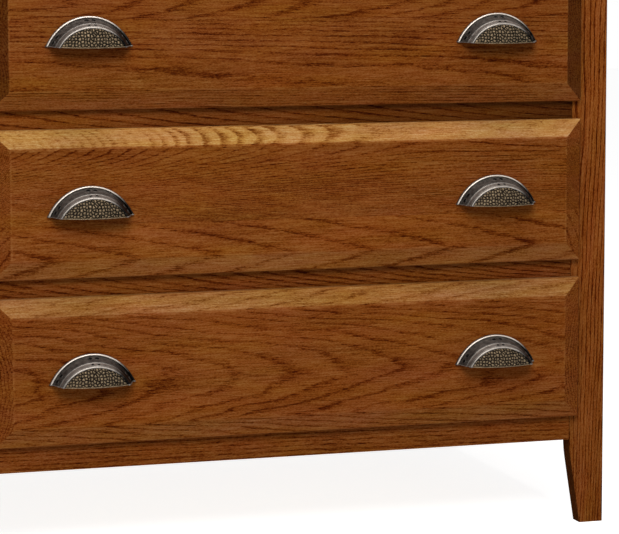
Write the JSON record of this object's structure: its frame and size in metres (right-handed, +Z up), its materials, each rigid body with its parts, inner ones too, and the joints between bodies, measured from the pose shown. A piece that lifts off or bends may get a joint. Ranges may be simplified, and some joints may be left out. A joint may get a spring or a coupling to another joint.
{
  "type": "chest of drawers",
  "caption": "Low oak chest of drawers with bevelled overlay fronts, cup pulls, tapered legs, framed sides and full-extension drawer slides.",
  "frame": {"origin": "on the floor, under the middle of the whole chest's box", "axes": "+X along the front to the right as seen from the front, -Y out of the front, +Z up"},
  "size_m": [0.813, 0.5814, 0.722],
  "materials": {
    "stained_oak": "warm brown stain under a satin lacquer",
    "inner_wood": "planed, unfinished",
    "drawer_maple": "clear satin",
    "drawer_plywood": "clear satin",
    "back_plywood": "stained, matt",
    "pull_pewter": "dark antique pewter, hammered",
    "slide_steel": "bright zinc",
    "screw_steel": "bright zinc"
  },
  "bodies": {
    "carcass": {"top_panel": "stained_oak", "top_front_rail": "stained_oak", "upper_drawer_rail": "stained_oak", "lower_drawer_rail": "stained_oak", "bottom_front_rail": "stained_oak", "back_top_rail": "inner_wood", "back_bottom_rail": "inner_wood", "slide_cleats": "inner_wood", "top_cleats": "inner_wood", "left_front_stile": "stained_oak", "left_side_front_stile": "stained_oak", "left_side_back_stile": "stained_oak", "left_side_top_rail": "stained_oak", "left_side_bottom_rail": "stained_oak", "left_side_panel": "stained_oak", "right_front_stile": "stained_oak", "right_side_front_stile": "stained_oak", "right_side_back_stile": "stained_oak", "right_side_top_rail": "stained_oak", "right_side_bottom_rail": "stained_oak", "right_side_panel": "stained_oak", "back_panel": "back_plywood", "cabinet_slides": "slide_steel", "carcass_screws": "screw_steel"},
    "drawer_1": {"drawer_1_front": "stained_oak", "drawer_1_box_front": "drawer_maple", "drawer_1_left_side": "drawer_maple", "drawer_1_right_side": "drawer_maple", "drawer_1_back": "drawer_maple", "drawer_1_bottom": "drawer_plywood", "drawer_1_left_pull": "pull_pewter", "drawer_1_right_pull": "pull_pewter", "drawer_1_screws": "screw_steel", "drawer_1_drawer_slides": "slide_steel"},
    "slide_1": {"drawer_1_middle_slides": "slide_steel", "drawer_1_ball_cages": "slide_steel"},
    "drawer_2": {"drawer_2_front": "stained_oak", "drawer_2_box_front": "drawer_maple", "drawer_2_left_side": "drawer_maple", "drawer_2_right_side": "drawer_maple", "drawer_2_back": "drawer_maple", "drawer_2_bottom": "drawer_plywood", "drawer_2_left_pull": "pull_pewter", "drawer_2_right_pull": "pull_pewter", "drawer_2_screws": "screw_steel", "drawer_2_drawer_slides": "slide_steel"},
    "slide_2": {"drawer_2_middle_slides": "slide_steel", "drawer_2_ball_cages": "slide_steel"},
    "drawer_3": {"drawer_3_front": "stained_oak", "drawer_3_box_front": "drawer_maple", "drawer_3_left_side": "drawer_maple", "drawer_3_right_side": "drawer_maple", "drawer_3_back": "drawer_maple", "drawer_3_bottom": "drawer_plywood", "drawer_3_left_pull": "pull_pewter", "drawer_3_right_pull": "pull_pewter", "drawer_3_screws": "screw_steel", "drawer_3_drawer_slides": "slide_steel"},
    "slide_3": {"drawer_3_middle_slides": "slide_steel", "drawer_3_ball_cages": "slide_steel"}
  },
  "joints": [
    {"name": "drawer_1_slide", "type": "slide", "parent": "carcass", "child": "drawer_1", "axis": [0, -1, 0], "range_m": [0, 0.465]},
    {"name": "middle_1_slide", "type": "slide", "parent": "carcass", "child": "slide_1", "axis": [0, -1, 0], "range_m": [0, 0.2325]},
    {"name": "drawer_2_slide", "type": "slide", "parent": "carcass", "child": "drawer_2", "axis": [0, -1, 0], "range_m": [0, 0.465]},
    {"name": "middle_2_slide", "type": "slide", "parent": "carcass", "child": "slide_2", "axis": [0, -1, 0], "range_m": [0, 0.2325]},
    {"name": "drawer_3_slide", "type": "slide", "parent": "carcass", "child": "drawer_3", "axis": [0, -1, 0], "range_m": [0, 0.465]},
    {"name": "middle_3_slide", "type": "slide", "parent": "carcass", "child": "slide_3", "axis": [0, -1, 0], "range_m": [0, 0.2325]}
  ],
  "couplings": [
    {"joint": "middle_1_slide", "follows": "drawer_1_slide", "ratio": 0.5},
    {"joint": "middle_2_slide", "follows": "drawer_2_slide", "ratio": 0.5},
    {"joint": "middle_3_slide", "follows": "drawer_3_slide", "ratio": 0.5}
  ]
}
